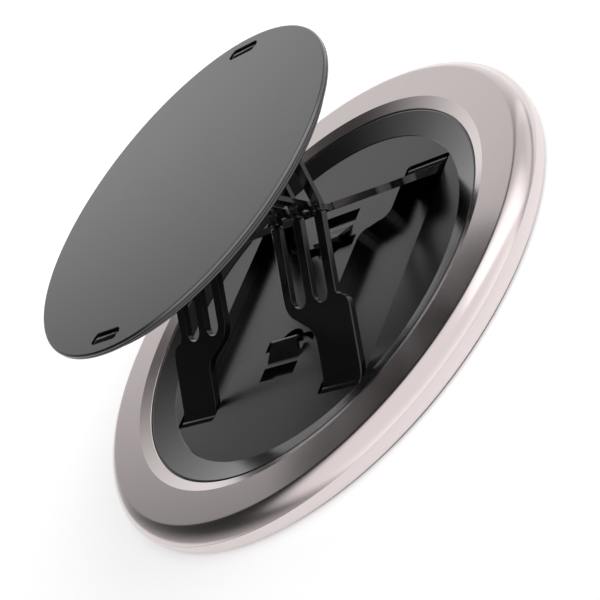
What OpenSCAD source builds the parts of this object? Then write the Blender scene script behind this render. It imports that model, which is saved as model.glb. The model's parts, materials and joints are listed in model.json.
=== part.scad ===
// Round magnetic phone grip that folds flat: a metal ring base that holds a magnet ring,
// and a thin disc carried on four slotted arms. Millimetres, +Z up, origin at the centre
// of the phone-side face. The arms are drawn standing, with the disc at full height.

/* [Base ring] */
// Largest outer radius, just under the line where the two ring halves meet
base_r = 28.1; // [28:0.05:28.4]
// Overall thickness of the base
base_h = 3.1; // [3:0.05:3.4]
// Height of the line between the trim ring and the lower ring
parting_z = 1.74; // [1.7:0.01:1.8]
// Outer radius of the flat top face
top_outer_r = 26.7; // [26.65:0.05:26.9]
// Inner radius of the flat top face
top_inner_r = 22.84; // [22.6:0.02:23]

/* [Recess] */
// Outer radius of the black sloping liner
liner_r = 21.65; // [21.4:0.05:21.8]
// Radius of the flat floor inside the liner
floor_r = 19.0; // [18.9:0.05:19.3]
// Height of the floor above the phone-side face
floor_z = 1.67; // [1.6:0.01:1.75]

/* [Arms] */
// Distance of the foot hinges from the centre
foot_y = 12.75; // [12.6:0.05:12.9]
// Height of the foot hinges
foot_z = 1.09; // [1.05:0.01:1.15]
// Thickness of the legs
leg_t = 0.68; // [0.64:0.02:0.7]
// Thickness of the links
link_t = 0.5; // [0.46:0.02:0.52]
// Side of the wide foot nearest the centre
foot_x0 = 8.1; // [8.05:0.05:8.15]
// Side of the wide foot nearest the rim
foot_x1 = 13.4; // [13.35:0.05:13.5]
// Width of one tine
tine_w = 1.12; // [1.08:0.02:1.16]
// Distance from one tine to the next
tine_pitch = 3.09; // [3.07:0.01:3.11]
// Side of the first tine of the three-tine arms
tine_x0 = 4.55; // [4.5:0.05:4.6]

/* [Disc] */
// Radius of the disc
disc_r = 18.9; // [18.7:0.05:18.95]
// Height of the disc's top face when the grip stands open
disc_top = 19.3; // [19.3:0.1:19.3]
// Thickness of the top skin
skin_t = 0.3; // [0.28:0.01:0.32]
// Thickness of the flange under the skin, which shows at the rim
flange_t = 0.3; // [0.28:0.01:0.32]
// Radius of the thicker middle of the sheet under the skin
hub_disc_r = 17.9; // [17.85:0.05:18]

/* [Magnets] */
// Number of magnets in the ring
magnet_count = 18; // [12:1:24]
// Inner radius of the magnet ring
magnet_r0 = 23.1; // [23:0.05:23.2]
// Outer radius of the magnet ring
magnet_r1 = 26.5; // [26.4:0.05:26.5]

/* [Hidden] */

// Colours, as the photo shows them
rose = [0.66, 0.56, 0.56];
rose_pale = [0.86, 0.78, 0.78];
black_gloss = [0.06, 0.06, 0.065];
black_satin = [0.09, 0.09, 0.095];
floor_grey = [0.14, 0.14, 0.145];
disc_grey = [0.22, 0.22, 0.225];
steel = [0.6, 0.6, 0.62];
magnet_grey = [0.42, 0.42, 0.44];
pad_grey = [0.25, 0.25, 0.26];

// Layers of the base, from the phone side up
pad_t = 0.2;
pad_r = 27.5;
back_top = 0.32;
stack_r = 21.9;
spacer_top = 1.0;
spigot_r = 27.2;
spigot_top = 1.95;
tray_r = 26.75;
shelf_top = 0.45;
magnet_top = 1.85;
yoke_top = 2.25;
cap_under = 2.5;
lip_r = 21.75;
lip_z = 2.62;
seam = 0.02;
magnet_gap = 1.2; // degrees between neighbours
hub_r = 22.0;
hub_wall = 0.75;
hub_top = 2.3;

// Points of an arc, counted from angle a0 to a1
function arc(cx, cy, r, a0, a1, n = 9) =
    [for (i = [0:n]) let (a = a0 + (a1 - a0) * i / n) [cx + r * cos(a), cy + r * sin(a)]];

// Arms, as [leg length, leg angle, link length, link angle, first tine, number of tines,
// slot start, near side of the leg, far side of the leg]. A side is a list of [x, distance from
// the foot hinge] points from the wide foot up to the tines, seen with the arm lying flat
front_near = concat(arc(foot_x0 - 1.75, 4.55, 1.75, 0, 60), arc(tine_x0 + 2.25, 9, 2.25, 230, 180));
front_far = concat(arc(foot_x1 - 1.3, 6.9, 1.3, 0, 75), arc(12.3, 8.65, 0.45, 260, 180));
rear_near = concat(arc(7.07, 4.6, 0.98, 0, 90), arc(7.07, 6.56, 0.975, 270, 180));
rear_far = concat(arc(foot_x1 - 1.5, 4.6, 1.5, 0, 90), arc(foot_x1 - 1.5, 7.7, 1.595, 270, 180));
arm_front = [16.3, 38.5, 7.75, 62, tine_x0, 3, 7.95, front_near, front_far];
arm_rear = [13.7, 38.66, 9.35, 62, tine_x0 + tine_pitch / 2, 2, 7.2, rear_near, rear_far];
crease_s = 1.6;
crease_bend = 9;
foot_barrel_r = 0.5;
foot_bore_r = 0.26;
foot_rod_r = 0.22;
rod_grip_r = 0.215;
rod_end = 0.4;
knee_n = -0.34;
knee_r = 0.36;
knee_bore_r = 0.18;
knee_pin_r = 0.14;
knee_grip_r = 0.138;
knee_relief = 0.42;
knee_split = 0.03;
knuckle_w = 0.44;
link_top = 0.13;
facet_end = 0.88;
web_w = 1.25;

// Pockets in the floor, one for each pair of arms
pocket_x0 = 4.1;
pocket_x1 = 13.85;
pocket_wide_x0 = 7.85;
pocket_y = 13.35;
pocket_narrow_y = 4.95;
pocket_wide_y = 8.0;
pocket_corner = 0.4;
pocket_bend = 1.3;
rear_shift = 0.45;
spacer_inset = 0.08;

// Lanced tongues on the centre line of the floor
tongue_root_w = 4.6;
tongue_tip_w = 3.8;
tongue_root = 8.0;
tongue_tip = 5.6;
tongue_rise = 0.8;
tongue_t = 0.4;
tongue_slot_w = 7.2;
tongue_slot_y0 = 5.05;
tongue_slot_y1 = 6.35;
tongue_eye_r = 1.9;
tongue_eye_y = 6.1;
window_w = 5.0;
window_y0 = 8.4;
window_y1 = 9.95;

// Disc
disc_under = 18.0;
flange_z = disc_top - skin_t - flange_t;
nest_gap = 0.35;
tongue_nest_w = 5.2;
tongue_nest_l = 3.2;
tongue_nest_y = 6.8;
disc_slot_y = 17.1;
disc_slot_l = 4.2;
disc_slot_w = 1.25;
disc_tab_l = 3.8;
disc_tab_w = 0.86;
disc_tab_top = disc_top - 0.06;

function tine_at(arm, i) = arm[4] + i * tine_pitch;
function tines(arm) = [for (i = [0:arm[5] - 1]) tine_at(arm, i)];
function arm_x1(arm) = tine_at(arm, arm[5] - 1) + tine_w;

// A ring turned from an outline of [radius, height] points
module turned(points) {
    rotate_extrude($fn = 180) polygon(points);
}

// The same solid on the left, the rear or both
module placed(left = false, rear = false) {
    mirror([left ? 1 : 0, 0, 0]) mirror([0, rear ? 1 : 0, 0]) children();
}

// Frame of an arm's leg: x across, y along the leg, z out of the sheet, origin on the foot hinge
module at_foot(arm) {
    translate([0, -foot_y, foot_z]) rotate([arm[1], 0, 0]) children();
}

// Frame of an arm's link, origin on the knee hinge
module at_knee(arm) {
    at_foot(arm) translate([0, arm[0], knee_n]) rotate([arm[3] - arm[1], 0, 0]) children();
}

// A cylinder along X from x0 to x1
module rod_x(x0, x1, r, fn = 32) {
    translate([x0, 0, 0]) rotate([0, 90, 0]) cylinder(r = r, h = x1 - x0, $fn = fn);
}

// A side profile of [y, z] points, drawn out along X
module profile_x(x0, x1, points) {
    translate([x0, 0, 0]) rotate([90, 0, 90]) linear_extrude(height = x1 - x0) polygon(points);
}

function reversed(list) = [for (i = [len(list) - 1:-1:0]) list[i]];

// Outline of a leg seen flat: wide foot, curved shoulders, then the slotted part
module leg_outline(arm) {
    top = arm[0] + knee_r;
    polygon(concat(
        [[foot_x0, -foot_barrel_r]], arm[7], [[arm[4], top], [arm_x1(arm), top]],
        reversed(arm[8]), [[foot_x1, -foot_barrel_r]]
    ));
}

// Gaps between neighbouring tines, round at the foot end
module slots(arm, start, end) {
    gap = tine_pitch - tine_w;
    for (i = [0:arm[5] - 2]) {
        x = tine_at(arm, i) + tine_w + gap / 2;
        translate([x, start + gap / 2, -3]) cylinder(d = gap, h = 6, $fn = 40);
        translate([x - gap / 2, start + gap / 2, -3]) cube([gap, end - start, 6]);
    }
}

// Leg: a foot rolled round its rod, a crease, the slotted sheet and a knuckle on the middle of each tine
module leg(arm) {
    drop = crease_s * tan(crease_bend);
    side = (tine_w - knuckle_w) / 2;
    difference() {
        union() {
            intersection() {
                profile_x(foot_x0 - 6, foot_x1 + 1, [
                    [0, drop - leg_t], [crease_s, -leg_t], [arm[0], -leg_t],
                    [arm[0], 0], [crease_s, 0], [0, drop]
                ]);
                translate([0, 0, -3]) linear_extrude(height = 6) leg_outline(arm);
            }
            rod_x(foot_x0, foot_x1, foot_barrel_r, 40);
            for (x = tines(arm))
                translate([0, arm[0], knee_n]) rod_x(x + side, x + side + knuckle_w, knee_r);
        }
        rod_x(foot_x0 - 1, foot_x1 + 1, foot_bore_r);
        slots(arm, arm[6], arm[0]);
        // Room on both sides of each knuckle for the link's fork
        for (x = tines(arm), start = [x - 0.5, x + side + knuckle_w])
            translate([start, arm[0] - knee_relief, -1.5]) cube([side + 0.5, 2, 3]);
        translate([0, arm[0], knee_n]) rod_x(arm[4] - 1, arm_x1(arm) + 1, knee_grip_r);
    }
}

// Link: forked fingers that hinge on the leg's tines, a small bend and one web at the disc
module link(arm) {
    top = arm[2];
    low = link_top - link_t;
    fork = (tine_w - knuckle_w) / 2 - knee_split;
    x0 = arm[4];
    x1 = arm_x1(arm);
    difference() {
        union() {
            difference() {
                profile_x(x0, x1, [
                    [0, -knee_r], [0.6, low], [top, low], [top, link_top],
                    [facet_end, link_top], [0.1, 0.345], [0, knee_r]
                ]);
                translate([0, top - web_w, 0]) mirror([0, 1, 0]) slots(arm, 0, top);
            }
            translate([0, top, link_top - link_t / 2]) rod_x(x0, x1, link_t / 2);
            for (x = tines(arm)) rod_x(x, x + tine_w, knee_r);
        }
        for (x = tines(arm))
            translate([x + fork, -2 + knee_relief, -1]) cube([tine_w - 2 * fork, 2, 2]);
        rod_x(x0 - 1, x1 + 1, knee_bore_r);
    }
}

// Short pins, one through each knuckle pair
module knee_pins(arm) {
    for (x = tines(arm)) rod_x(x + 0.05, x + tine_w - 0.05, knee_pin_r);
}

module foot_rod(left, rear) {
    color(steel) placed(left, rear) translate([0, -foot_y, foot_z])
        rod_x(pocket_wide_x0 - rod_end, pocket_x1 + rod_end, foot_rod_r);
}

// Half of a pocket's outline: narrow end, bend, then the wide end with its two corners
function pocket_side(x0, x1, wide, end, narrow_y, wide_y) = concat(
    arc(x0 + pocket_bend, narrow_y, pocket_bend, 180, 90),
    arc(wide - pocket_bend, wide_y, pocket_bend, -90, 0),
    arc(wide + pocket_corner, end - pocket_corner, pocket_corner, 180, 90),
    arc(x1 - pocket_corner, end - pocket_corner, pocket_corner, 90, 0)
);

// Outline of one pocket, shaped like the two folded legs that lie in it
module pocket_outline(grow = 0) {
    x0 = pocket_x0 - grow;
    x1 = pocket_x1 + grow;
    wide = pocket_wide_x0 - grow;
    end = pocket_y + grow;
    narrow_y = pocket_narrow_y + grow;
    wide_y = pocket_wide_y + grow;
    front = pocket_side(x0, x1, wide, end, narrow_y, wide_y);
    rear = pocket_side(x0, x1, wide, end, narrow_y + rear_shift, wide_y + rear_shift);
    polygon(concat(rear, [for (p = reversed(front)) [p[0], -p[1]]]));
}

// Holes that the floor and the spacer share
module pockets(z0, z1, grow) {
    for (left = [false, true]) placed(left)
        translate([0, 0, z0]) linear_extrude(height = z1 - z0) pocket_outline(grow);
}

module rod_grips() {
    for (left = [false, true], rear = [false, true]) placed(left, rear)
        translate([0, -foot_y, foot_z])
            rod_x(pocket_wide_x0 - rod_end, pocket_x1 + rod_end, rod_grip_r);
}

// Tongue cut from the floor and bent up, narrower at its turned-down tip
module tongue() {
    z = floor_z;
    top = floor_z + tongue_rise;
    intersection() {
        profile_x(-tongue_root_w / 2, tongue_root_w / 2, concat(
            [[-tongue_root - 0.2, z - tongue_t], [-tongue_root + 0.1, z - tongue_t],
            [-tongue_tip - 0.75, top - tongue_t - 0.02], [-tongue_tip - 0.4, top - tongue_t - 0.12],
            [-tongue_tip - 0.3, top - tongue_t - 0.5], [-tongue_tip, top - tongue_t - 0.5]],
            arc(-tongue_tip - tongue_t, top - tongue_t, tongue_t, 0, 100, 6),
            [[-tongue_root + 0.1, z + 0.03], [-tongue_root - 0.2, z]]
        ));
        linear_extrude(height = 6) polygon(concat(
            [[-tongue_root_w / 2, -tongue_root - 0.2], [tongue_root_w / 2, -tongue_root - 0.2],
            [tongue_root_w / 2, -tongue_root + 0.3]],
            arc(tongue_tip_w / 2 - 0.3, -tongue_tip - 0.3, 0.3, 0, 90, 4),
            arc(-tongue_tip_w / 2 + 0.3, -tongue_tip - 0.3, 0.3, 90, 180, 4),
            [[-tongue_root_w / 2, -tongue_root + 0.3]]
        ));
    }
}

// Opening round a tongue: along its sides, across its tip, and a round end towards the centre
module tongue_eye() {
    translate([0, 0, spacer_top - 1]) linear_extrude(height = 3) {
        translate([-tongue_root_w / 2, -tongue_root]) square([tongue_root_w, tongue_root - tongue_slot_y0]);
        translate([-tongue_slot_w / 2, -tongue_slot_y1])
            square([tongue_slot_w, tongue_slot_y1 - tongue_slot_y0]);
        translate([0, -tongue_eye_y]) circle(r = tongue_eye_r, $fn = 60);
    }
}

module phone_pad() {
    color(pad_grey) cylinder(r = pad_r, h = pad_t, $fn = 180);
}

module back_sheet() {
    color(black_satin) translate([0, 0, pad_t]) cylinder(r = stack_r, h = back_top - pad_t, $fn = 180);
}

// Tray that holds the magnets
module lower_ring() {
    r = base_r;
    seam_z = parting_z - seam / 2;
    color(rose_pale) turned([
        [hub_r, pad_t], [r - 0.42, pad_t], [r - 0.2, pad_t + 0.12], [r - 0.07, pad_t + 0.33],
        [r, pad_t + 0.75], [r, pad_t + 1.1], [r - 0.04, seam_z], [spigot_r, seam_z],
        [spigot_r, spigot_top], [tray_r, spigot_top], [tray_r, shelf_top],
        [hub_r + hub_wall, shelf_top], [hub_r + hub_wall, hub_top], [hub_r, hub_top]
    ]);
}

module magnet_array() {
    step = 360 / magnet_count;
    color(magnet_grey) for (i = [0:magnet_count - 1])
        rotate([0, 0, i * step + magnet_gap / 2]) rotate_extrude(angle = step - magnet_gap, $fn = 120)
            translate([magnet_r0, shelf_top]) square([magnet_r1 - magnet_r0, magnet_top - shelf_top]);
}

module steel_yoke() {
    color(steel) turned([
        [magnet_r0 - 0.1, magnet_top], [magnet_r1 + 0.1, magnet_top],
        [magnet_r1 + 0.1, yoke_top], [magnet_r0 - 0.1, yoke_top]
    ]);
}

// Visible top of the ring: a hollow shoulder that flares to the seam, a flat top, a bright inner chamfer
module trim_ring() {
    r = base_r - 0.04;
    top = top_outer_r;
    foot = parting_z + seam / 2;
    crown = base_h;
    color(rose) turned([
        [r, foot], [r - 0.08, foot + 0.05], [r - 0.34, foot + 0.15], [r - 0.6, foot + 0.27],
        [r - 0.82, foot + 0.41], [r - 0.98, foot + 0.56], [r - 1.1, foot + 0.72],
        [top + 0.18, crown - 0.45], [top + 0.13, crown - 0.27], [top + 0.08, crown - 0.13],
        [top, crown - 0.05], [top - 0.1, crown - 0.01], [top - 0.2, crown],
        [top_inner_r + 0.1, crown - 0.03], [top_inner_r, crown - 0.07], [lip_r + 0.05, lip_z],
        [lip_r, lip_z - 0.06], [lip_r, hub_top], [hub_r + hub_wall, hub_top], [hub_r + hub_wall, cap_under],
        [magnet_r1 - 0.1, cap_under], [tray_r, yoke_top + 0.05], [tray_r, spigot_top + seam],
        [spigot_r + seam, spigot_top + seam], [spigot_r + seam, foot]
    ]);
}

module spacer_plate() {
    color(floor_grey) difference() {
        translate([0, 0, back_top]) cylinder(r = stack_r, h = spacer_top - back_top, $fn = 180);
        pockets(back_top - 1, spacer_top + 1, spacer_inset);
        rod_grips();
    }
}

module floor_plate() {
    color(floor_grey) difference() {
        union() {
            difference() {
                translate([0, 0, spacer_top]) cylinder(r = stack_r, h = floor_z - spacer_top, $fn = 180);
                for (rear = [false, true]) placed(false, rear) {
                    translate([-window_w / 2, -window_y1, spacer_top - 1])
                        cube([window_w, window_y1 - window_y0, 3]);
                    tongue_eye();
                }
            }
            for (rear = [false, true]) placed(false, rear) tongue();
        }
        pockets(spacer_top - 1, floor_z + 1, 0);
        rod_grips();
    }
}

module recess_liner() {
    color(black_satin) turned([
        [floor_r, floor_z], [stack_r - 0.05, floor_z], [stack_r - 0.05, hub_top], [liner_r, hub_top],
        [liner_r, lip_z - 0.12], [liner_r - 0.15, lip_z - 0.1], [floor_r + 0.08, floor_z + 0.07]
    ]);
}

// Window in the disc for one arm: it takes the folded link and the end of the leg
module nest(arm, y0, y1) {
    translate([arm[4] - nest_gap, y0, disc_under - 1])
        cube([arm_x1(arm) - arm[4] + 2 * nest_gap, y1 - y0, disc_top - skin_t - disc_under + 1]);
}

module disc_slot(l, w, h) {
    for (s = [-1, 1]) translate([s * (l - w) / 2, 0, 0]) cylinder(d = w, h = h, $fn = 32);
    translate([-(l - w) / 2, -w / 2, 0]) cube([l - w, w, h]);
}

// Tab with a rounded top, standing in one of the disc's slots
module disc_tab() {
    r = disc_tab_w / 2;
    straight = disc_tab_l - disc_tab_w;
    z = disc_tab_top - r;
    translate([0, 0, disc_under + 0.3]) disc_slot(disc_tab_l, disc_tab_w, z - disc_under - 0.3);
    translate([0, 0, z]) rod_x(-straight / 2, straight / 2, r);
    for (s = [-1, 1]) translate([s * straight / 2, 0, z]) sphere(r = r, $fn = 32);
}

// Sheet under the skin: a thin flange out to the rim, windows for the arms and the floor's
// tongues, and two tabs that turn up into the skin's slots
module disc_carrier() {
    seat = disc_top - skin_t;
    r = disc_r - 0.03;
    color(black_gloss) {
        difference() {
            turned([
                [0, disc_under], [hub_disc_r - 0.12, disc_under], [hub_disc_r, disc_under + 0.12],
                [hub_disc_r, flange_z], [r - 0.1, flange_z], [r, flange_z + 0.1], [r, seat - 0.05],
                [r - 0.06, seat], [0, seat]
            ]);
            for (left = [false, true]) placed(left) {
                nest(arm_front, -5.0, 12.1);
                placed(false, true) nest(arm_rear, -5.8, 10.9);
            }
            for (s = [-1, 1]) {
                translate([-tongue_nest_w / 2, s * tongue_nest_y - tongue_nest_l / 2, disc_under - 1])
                    cube([tongue_nest_w, tongue_nest_l, disc_top - skin_t - disc_under + 1]);
                translate([0, s * disc_slot_y, flange_z - 0.1]) disc_slot(disc_slot_l, disc_slot_w, 3);
            }
        }
        for (s = [-1, 1]) translate([0, s * disc_slot_y, 0]) disc_tab();
    }
}

module disc_skin() {
    z = disc_top - skin_t;
    color(disc_grey) difference() {
        turned([
            [0, z], [disc_r - 0.08, z], [disc_r, z + 0.06], [disc_r - 0.01, z + 0.12],
            [disc_r - 0.05, z + 0.21], [disc_r - 0.12, z + 0.27], [disc_r - 0.22, disc_top], [0, disc_top]
        ]);
        for (s = [-1, 1]) translate([0, s * disc_slot_y, z - 1]) disc_slot(disc_slot_l, disc_slot_w, 3);
    }
}

module leg_node(arm, left, rear) {
    color(black_gloss) placed(left, rear) at_foot(arm) leg(arm);
}

module link_node(arm, left, rear) {
    color(black_gloss) placed(left, rear) at_knee(arm) link(arm);
}

module pins_node(arm, left, rear) {
    color(steel) placed(left, rear) at_knee(arm) knee_pins(arm);
}

phone_pad();
back_sheet();
lower_ring();
magnet_array();
steel_yoke();
trim_ring();
spacer_plate();
floor_plate();
recess_liner();
foot_rod(false, false);  // foot_rod_front_right
foot_rod(true, false);  // foot_rod_front_left
foot_rod(false, true);  // foot_rod_rear_right
foot_rod(true, true);  // foot_rod_rear_left
leg_node(arm_front, false, false);  // leg_front_right
leg_node(arm_front, true, false);  // leg_front_left
leg_node(arm_rear, false, true);  // leg_rear_right
leg_node(arm_rear, true, true);  // leg_rear_left
pins_node(arm_front, false, false);  // knee_pins_front_right
pins_node(arm_front, true, false);  // knee_pins_front_left
pins_node(arm_rear, false, true);  // knee_pins_rear_right
pins_node(arm_rear, true, true);  // knee_pins_rear_left
link_node(arm_front, false, false);  // link_front_right
link_node(arm_front, true, false);  // link_front_left
link_node(arm_rear, false, true);  // link_rear_right
link_node(arm_rear, true, true);  // link_rear_left
disc_carrier();
disc_skin();
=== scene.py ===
import json
import math

import bmesh
import bpy
from mathutils import Matrix, Vector


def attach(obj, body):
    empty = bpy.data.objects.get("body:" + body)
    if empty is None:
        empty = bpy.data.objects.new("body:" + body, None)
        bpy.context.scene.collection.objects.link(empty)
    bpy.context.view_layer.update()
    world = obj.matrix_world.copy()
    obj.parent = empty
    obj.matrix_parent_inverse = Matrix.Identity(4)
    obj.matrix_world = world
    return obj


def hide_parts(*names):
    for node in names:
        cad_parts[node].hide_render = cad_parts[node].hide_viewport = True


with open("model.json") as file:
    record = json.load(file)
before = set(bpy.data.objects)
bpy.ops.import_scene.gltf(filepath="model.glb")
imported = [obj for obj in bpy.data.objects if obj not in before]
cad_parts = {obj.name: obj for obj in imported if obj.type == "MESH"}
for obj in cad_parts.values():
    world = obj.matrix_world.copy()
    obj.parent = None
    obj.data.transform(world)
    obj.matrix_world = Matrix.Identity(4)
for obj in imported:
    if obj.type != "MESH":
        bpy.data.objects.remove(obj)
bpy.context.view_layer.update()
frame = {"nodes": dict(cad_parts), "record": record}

MM = 0.001

nodes = frame["nodes"]
body_of_node = {}
for body, names in frame["record"]["behaviour"]["bodies"].items():
    for name in names:
        body_of_node[name] = body


# Materials

GRAIN_DETAIL = 4.0
GRAIN_HEIGHT = 0.02 * MM
METAL_GRAIN_SCALE = 9000.0
METAL_ROUGH_SPREAD = 0.04
COATING_GRAIN_SCALE = 7000.0
COATING_ROUGH_SPREAD = 0.03


def new_material(name):
    mat = bpy.data.materials.new(name)
    mat.use_nodes = True
    tree = mat.node_tree
    return mat, tree, tree.nodes["Principled BSDF"]


def fine_grain(tree, shader, scale, depth, rough, rough_spread):
    """A fine surface grain in object coordinates: a bump, and a roughness that varies a little."""
    coord = tree.nodes.new("ShaderNodeTexCoord")
    noise = tree.nodes.new("ShaderNodeTexNoise")
    noise.inputs["Scale"].default_value = scale
    noise.inputs["Detail"].default_value = GRAIN_DETAIL
    tree.links.new(coord.outputs["Object"], noise.inputs["Vector"])
    bump = tree.nodes.new("ShaderNodeBump")
    bump.inputs["Strength"].default_value = depth
    bump.inputs["Distance"].default_value = GRAIN_HEIGHT
    tree.links.new(noise.outputs["Fac"], bump.inputs["Height"])
    tree.links.new(bump.outputs["Normal"], shader.inputs["Normal"])
    spread = tree.nodes.new("ShaderNodeMapRange")
    spread.inputs["To Min"].default_value = rough - rough_spread
    spread.inputs["To Max"].default_value = rough + rough_spread
    tree.links.new(noise.outputs["Fac"], spread.inputs["Value"])
    tree.links.new(spread.outputs["Result"], shader.inputs["Roughness"])


def metal(name, color, rough, grain):
    mat, tree, shader = new_material(name)
    shader.inputs["Base Color"].default_value = (*color, 1)
    shader.inputs["Metallic"].default_value = 1.0
    fine_grain(tree, shader, METAL_GRAIN_SCALE, grain, rough, METAL_ROUGH_SPREAD)
    return mat


def coated(name, color, rough, grain, specular):
    mat, tree, shader = new_material(name)
    shader.inputs["Base Color"].default_value = (*color, 1)
    shader.inputs["Specular IOR Level"].default_value = specular
    fine_grain(tree, shader, COATING_GRAIN_SCALE, grain, rough, COATING_ROUGH_SPREAD)
    return mat


ring_trim = metal("ring_trim", (0.70, 0.62, 0.62), rough=0.20, grain=0.03)
ring_lower = metal("ring_lower", (0.74, 0.665, 0.665), rough=0.24, grain=0.03)
disc_face = metal("disc_face", (0.155, 0.155, 0.155), rough=0.22, grain=0.02)
floor_face = metal("floor_face", (0.078, 0.078, 0.08), rough=0.24, grain=0.02)
liner_face = metal("liner_face", (0.115, 0.115, 0.117), rough=0.18, grain=0.02)
arm_black = coated("arm_black", (0.004, 0.004, 0.0042), rough=0.16, grain=0.03, specular=0.5)
carrier_face = metal("carrier_face", (0.09, 0.09, 0.092), rough=0.22, grain=0.02)
pad_grey = coated("pad_grey", (0.05, 0.05, 0.052), rough=0.7, grain=0.3, specular=0.3)
steel = metal("steel", (0.55, 0.55, 0.56), rough=0.25, grain=0.05)
magnet_grey = metal("magnet_grey", (0.42, 0.42, 0.44), rough=0.3, grain=0.05)

# The material of each kind of piece. The feet's and arms' pieces have their place after the kind.
LOOK = {
    "phone_pad": pad_grey,
    "back_sheet": floor_face,
    "lower_ring": ring_lower,
    "trim_ring": ring_trim,
    "magnet_array": magnet_grey,
    "steel_yoke": steel,
    "spacer_plate": floor_face,
    "floor_plate": floor_face,
    "recess_liner": liner_face,
    "foot_rod": steel,
    "leg": arm_black,
    "knee_pins": arm_black,
    "link": arm_black,
    "disc_carrier": carrier_face,
    "disc_skin": disc_face,
}


def kind_of(name):
    for kind in LOOK:
        if name.startswith(kind):
            return kind
    raise KeyError(name)


def paint(obj, mat):
    obj.data.materials.clear()
    obj.data.materials.append(mat)


def stand_for(obj, name):
    """Gives a piece its node's material and body, and shows it in the node's place."""
    paint(obj, LOOK[kind_of(name)])
    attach(obj, body_of_node[name])
    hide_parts(name)


def keep_flats_flat(obj):
    """Smooth shading in which the large faces keep their own direction."""
    flat = obj.modifiers.new("flat_faces", "WEIGHTED_NORMAL")
    flat.weight = 100
    flat.keep_sharp = True


# Pieces with broken edges

EDGE_BREAK = {
    "floor_plate": 0.05 * MM,
    "spacer_plate": 0.04 * MM,
    "disc_carrier": 0.06 * MM,
    "disc_skin": 0.05 * MM,
    "lower_ring": 0.04 * MM,
    "leg": 0.13 * MM,
    "link": 0.10 * MM,
}
EDGE_STEPS = 3
MERGE_DISTANCE = 0.0005 * MM
FLAT_ANGLE = math.radians(0.6)
# An edge stays sharp above the first angle, and a long crease above the second
SHARP = math.radians(35)
CREASE = math.radians(9)
CREASE_LENGTH = 2.0 * MM
# The folded links lie close over the legs, so they are drawn this much slimmer
LINK_EASE = 0.02 * MM


def edged(name):
    """A copy of a CAD node with small rounded edges, which stands for that node."""
    kind = kind_of(name)
    obj = bpy.data.objects.new(name + "_edged", nodes[name].data.copy())
    bpy.context.scene.collection.objects.link(obj)
    mesh = bmesh.new()
    mesh.from_mesh(obj.data)
    bmesh.ops.remove_doubles(mesh, verts=mesh.verts, dist=MERGE_DISTANCE)
    bmesh.ops.dissolve_limit(mesh, angle_limit=FLAT_ANGLE, verts=mesh.verts, edges=mesh.edges)
    if kind == "link":
        mesh.normal_update()
        for vert in mesh.verts:
            vert.co -= LINK_EASE * vert.normal
    for face in mesh.faces:
        face.smooth = True
    rounding = mesh.edges.layers.float.new("bevel_weight_edge")
    for edge in mesh.edges:
        if len(edge.link_faces) == 2:
            bend = edge.calc_face_angle()
            long_crease = bend > CREASE and edge.calc_length() > CREASE_LENGTH
            edge.smooth = not (bend > SHARP or long_crease)
            edge[rounding] = 1.0 if bend > SHARP and edge.is_convex else 0.0
    mesh.to_mesh(obj.data)
    mesh.free()
    bevel = obj.modifiers.new("edge", "BEVEL")
    bevel.width = EDGE_BREAK[kind]
    bevel.segments = EDGE_STEPS
    bevel.limit_method = "WEIGHT"
    bevel.use_clamp_overlap = True
    keep_flats_flat(obj)
    stand_for(obj, name)


# Trim ring, in millimetres of (radius, height): the CAD's section with the round shoulder of the photo

PARTING = 1.75
SHOULDER_FOOT = Vector((28.06, PARTING))
SHOULDER_TOP = Vector((26.66, 3.09))
SHOULDER_BOW = 0.24
SHOULDER_STEPS = 14
FLAT_TOP = ((26.5, 3.1), (22.94, 3.07))
CHAMFER = ((22.84, 3.03), (21.8, 2.62))
LIP = ((21.75, 2.56), (21.75, 2.3), (22.75, 2.3))
MAGNET_COVER = ((22.75, 2.5), (26.4, 2.5), (26.75, 2.3))
SEAT = ((26.75, 1.97), (27.22, 1.97), (27.22, PARTING))
TURN_STEPS = 288
TURNED_SHARP = math.radians(20)


def shoulder():
    """Points from the parting line up to the flat top, bowed outward from the straight line between them."""
    along = (SHOULDER_TOP - SHOULDER_FOOT).normalized()
    outward = Vector((along.y, -along.x))
    points = []
    for step in range(SHOULDER_STEPS + 1):
        part = step / SHOULDER_STEPS
        bow = SHOULDER_BOW * 4 * part * (1 - part)
        points.append(tuple(SHOULDER_FOOT.lerp(SHOULDER_TOP, part) + outward * bow))
    return points


def turned(name, profile):
    """A ring turned from a closed profile, which stands for a CAD node."""
    mesh = bmesh.new()
    circles = []
    for radius, height in profile:
        circle = []
        for step in range(TURN_STEPS):
            angle = 2 * math.pi * step / TURN_STEPS
            place = Vector((radius * math.cos(angle), radius * math.sin(angle), height))
            circle.append(mesh.verts.new(place * MM))
        circles.append(circle)
    for lower, upper in zip(circles, circles[1:] + circles[:1]):
        for step in range(TURN_STEPS):
            after = (step + 1) % TURN_STEPS
            face = mesh.faces.new((lower[step], lower[after], upper[after], upper[step]))
            face.smooth = True
    bmesh.ops.recalc_face_normals(mesh, faces=mesh.faces)
    for edge in mesh.edges:
        edge.smooth = edge.calc_face_angle() < TURNED_SHARP
    obj = bpy.data.objects.new(name + "_turned", bpy.data.meshes.new(name + "_turned"))
    mesh.to_mesh(obj.data)
    mesh.free()
    bpy.context.scene.collection.objects.link(obj)
    keep_flats_flat(obj)
    stand_for(obj, name)


turned("trim_ring", [*shoulder(), *FLAT_TOP, *CHAMFER, *LIP, *MAGNET_COVER, *SEAT])
for name, obj in nodes.items():
    if kind_of(name) in EDGE_BREAK:
        edged(name)
    elif name != "trim_ring":
        paint(obj, LOOK[kind_of(name)])


# Stage: a white floor, a soft sky, a glowing panel behind the object and a softbox at its side

FLOOR_HALF = 3.0
FLOOR_DROP = 0.02 * MM
FLOOR_COLOR = 0.86
FLOOR_ROUGH = 0.9
FLOOR_SPECULAR = 0.1
FLOOR_GLOW = 0.33
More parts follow.
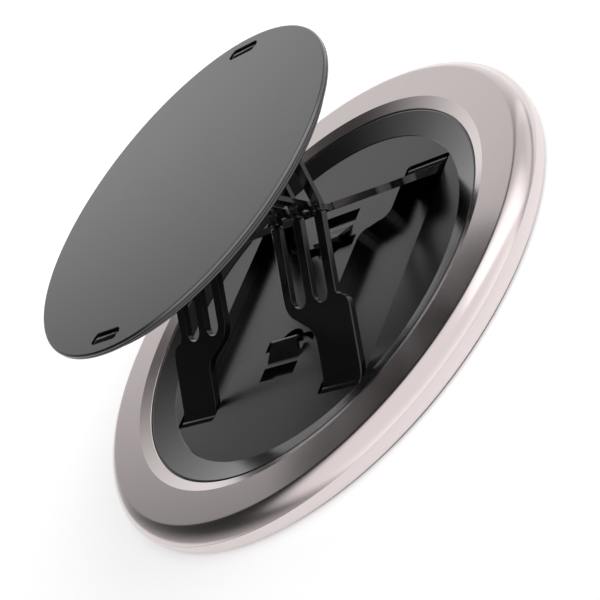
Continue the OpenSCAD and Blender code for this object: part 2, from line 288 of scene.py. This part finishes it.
# Each sky part holds pairs of a place on its ramp and a level of light there
HORIZON = ((0.0, 0.42), (0.12, 0.36), (0.25, 0.26), (0.35, 0.16), (0.50, 0.05), (0.70, 0.02))
OVERHEAD = ((0.34, 0.0), (0.46, 0.5), (0.56, 1.0))
OVERHEAD_TILT = math.radians(40)
OVERHEAD_AZIMUTH = math.radians(-20)
PANEL_DISTANCE = 118 * MM
PANEL_AZIMUTH = math.radians(135)
PANEL_ASIDE = -24 * MM
PANEL_HEIGHT = 16 * MM
PANEL_REACH = (158 * MM, 118 * MM)
PANEL_MARGIN = 1.06
PANEL_LEVEL = 1.22
PANEL_FALL = 1.2
PANEL_TOP = 0.67
SOFTBOX_PLACE = Vector((0.10, 0.235, 0.21))
SOFTBOX_SIZE = (0.36, 0.42)
SOFTBOX_POWER = 0.31


def rectangle(name, left, right, low, high):
    mesh = bpy.data.meshes.new(name)
    corners = [(left, low, 0), (right, low, 0), (right, high, 0), (left, high, 0)]
    mesh.from_pydata(corners, [], [(0, 1, 2, 3)])
    obj = bpy.data.objects.new(name, mesh)
    bpy.context.scene.collection.objects.link(obj)
    return obj


def white_for_view(tree, surface, strength):
    """Adds a glow that only the camera, reflections and transmission see, so that a floor reads as white."""
    path = tree.nodes.new("ShaderNodeLightPath")
    seen = path.outputs["Is Camera Ray"]
    for kind in ("Is Glossy Ray", "Is Transmission Ray"):
        either = tree.nodes.new("ShaderNodeMath")
        either.operation = "MAXIMUM"
        tree.links.new(seen, either.inputs[0])
        tree.links.new(path.outputs[kind], either.inputs[1])
        seen = either.outputs[0]
    scale = tree.nodes.new("ShaderNodeMath")
    scale.operation = "MULTIPLY"
    scale.inputs[1].default_value = strength
    tree.links.new(seen, scale.inputs[0])
    glow = tree.nodes.new("ShaderNodeEmission")
    tree.links.new(scale.outputs[0], glow.inputs["Strength"])
    both = tree.nodes.new("ShaderNodeAddShader")
    tree.links.new(surface, both.inputs[0])
    tree.links.new(glow.outputs[0], both.inputs[1])
    return both.outputs[0]


def make_floor():
    floor = rectangle("floor", -FLOOR_HALF, FLOOR_HALF, -FLOOR_HALF, FLOOR_HALF)
    floor.location = (0, 0, -FLOOR_DROP)
    mat, tree, shader = new_material("floor")
    shader.inputs["Base Color"].default_value = (FLOOR_COLOR, FLOOR_COLOR, FLOOR_COLOR, 1)
    shader.inputs["Roughness"].default_value = FLOOR_ROUGH
    shader.inputs["Specular IOR Level"].default_value = FLOOR_SPECULAR
    surface = white_for_view(tree, shader.outputs[0], FLOOR_GLOW)
    tree.links.new(surface, tree.nodes["Material Output"].inputs["Surface"])
    paint(floor, mat)


def sky_part(tree, coord, axis, levels):
    """Light that depends on how near a direction is to the axis."""
    along = tree.nodes.new("ShaderNodeVectorMath")
    along.operation = "DOT_PRODUCT"
    along.inputs[1].default_value = axis
    tree.links.new(coord.outputs["Generated"], along.inputs[0])
    ramp = tree.nodes.new("ShaderNodeValToRGB")
    ramp.color_ramp.interpolation = "EASE"
    tree.links.new(along.outputs["Value"], ramp.inputs["Fac"])
    points = ramp.color_ramp.elements
    while len(points) < len(levels):
        points.new(1.0)
    for point, (place, level) in zip(points, levels):
        point.position = place
        point.color = (level, level, level, 1)
    return ramp.outputs["Color"]


def make_sky():
    """A sky that is bright near the horizon, dim above it, and bright again round a point overhead."""
    world = bpy.data.worlds.new("world")
    bpy.context.scene.world = world
    world.use_nodes = True
    tree = world.node_tree
    coord = tree.nodes.new("ShaderNodeTexCoord")
    overhead_axis = (
        math.sin(OVERHEAD_TILT) * math.cos(OVERHEAD_AZIMUTH),
        math.sin(OVERHEAD_TILT) * math.sin(OVERHEAD_AZIMUTH),
        math.cos(OVERHEAD_TILT),
    )
    total = tree.nodes.new("ShaderNodeVectorMath")
    total.operation = "ADD"
    tree.links.new(sky_part(tree, coord, (0, 0, 1), HORIZON), total.inputs[0])
    tree.links.new(sky_part(tree, coord, overhead_axis, OVERHEAD), total.inputs[1])
    tree.links.new(total.outputs["Vector"], tree.nodes["Background"].inputs["Color"])


def panel_glow():
    """An emission that is strongest at the panel's centre and fades out evenly towards its edge."""
    mat, tree, shader = new_material("back_panel")
    tree.nodes.remove(shader)
    coord = tree.nodes.new("ShaderNodeTexCoord")
    scale = tree.nodes.new("ShaderNodeVectorMath")
    scale.operation = "DIVIDE"
    scale.inputs[1].default_value = (*PANEL_REACH, 1)
    tree.links.new(coord.outputs["Object"], scale.inputs[0])
    length = tree.nodes.new("ShaderNodeVectorMath")
    length.operation = "LENGTH"
    tree.links.new(scale.outputs["Vector"], length.inputs[0])
    level = tree.nodes.new("ShaderNodeMath")
    level.operation = "MULTIPLY_ADD"
    level.inputs[1].default_value = -PANEL_FALL
    level.inputs[2].default_value = PANEL_LEVEL
    tree.links.new(length.outputs["Value"], level.inputs[0])
    clamp = tree.nodes.new("ShaderNodeClamp")
    clamp.inputs["Max"].default_value = PANEL_TOP
    tree.links.new(level.outputs[0], clamp.inputs["Value"])
    glow = tree.nodes.new("ShaderNodeEmission")
    tree.links.new(clamp.outputs[0], glow.inputs["Strength"])
    clear = tree.nodes.new("ShaderNodeBsdfTransparent")
    both = tree.nodes.new("ShaderNodeAddShader")
    tree.links.new(glow.outputs[0], both.inputs[0])
    tree.links.new(clear.outputs[0], both.inputs[1])
    tree.links.new(both.outputs[0], tree.nodes["Material Output"].inputs["Surface"])
    return mat


def make_panel():
    """The panel stands upright on the floor, faces the object and is seen only in reflections."""
    across = PANEL_MARGIN * PANEL_REACH[0]
    high = PANEL_MARGIN * PANEL_REACH[1]
    panel = rectangle("back_panel", -across, across, -PANEL_HEIGHT, high)
    facing = Vector((math.cos(PANEL_AZIMUTH), math.sin(PANEL_AZIMUTH), 0))
    side = Vector((-facing.y, facing.x, 0))
    place = PANEL_DISTANCE * facing + PANEL_ASIDE * side + Vector((0, 0, PANEL_HEIGHT))
    panel.matrix_world = Matrix((
        (side.x, 0, facing.x, place.x),
        (side.y, 0, facing.y, place.y),
        (0, 1, 0, place.z),
        (0, 0, 0, 1),
    ))
    panel.visible_camera = False
    panel.visible_shadow = False
    paint(panel, panel_glow())


def make_softbox():
    light = bpy.data.lights.new("side", "AREA")
    light.shape = "RECTANGLE"
    light.size, light.size_y = SOFTBOX_SIZE
    light.energy = SOFTBOX_POWER
    obj = bpy.data.objects.new("side", light)
    obj.location = SOFTBOX_PLACE
    obj.rotation_euler = (-SOFTBOX_PLACE).to_track_quat("-Z", "Y").to_euler()
    bpy.context.scene.collection.objects.link(obj)


make_floor()
make_sky()
make_panel()
make_softbox()


# Camera

CAMERA_PLACE = Vector((0.12694, -0.08463, 0.07624))
CAMERA_RIGHT = Vector((0.6285, 0.3368, -0.701))
CAMERA_FORWARD = Vector((-0.7524, 0.4935, -0.437))
LENS = 105.288
SENSOR_WIDTH = 36.0
NEAR_CLIP = 0.001

forward = CAMERA_FORWARD.normalized()
right = (CAMERA_RIGHT - CAMERA_RIGHT.dot(forward) * forward).normalized()
up = right.cross(forward)
cam = bpy.data.cameras.new("camera")
cam.sensor_width = SENSOR_WIDTH
cam.lens = LENS
cam.clip_start = NEAR_CLIP
camera = bpy.data.objects.new("camera", cam)
camera.matrix_world = Matrix((
    (right.x, up.x, -forward.x, CAMERA_PLACE.x),
    (right.y, up.y, -forward.y, CAMERA_PLACE.y),
    (right.z, up.z, -forward.z, CAMERA_PLACE.z),
    (0, 0, 0, 1),
))
bpy.context.scene.collection.objects.link(camera)
bpy.context.scene.camera = camera
bpy.context.scene.view_settings.view_transform = "Standard"
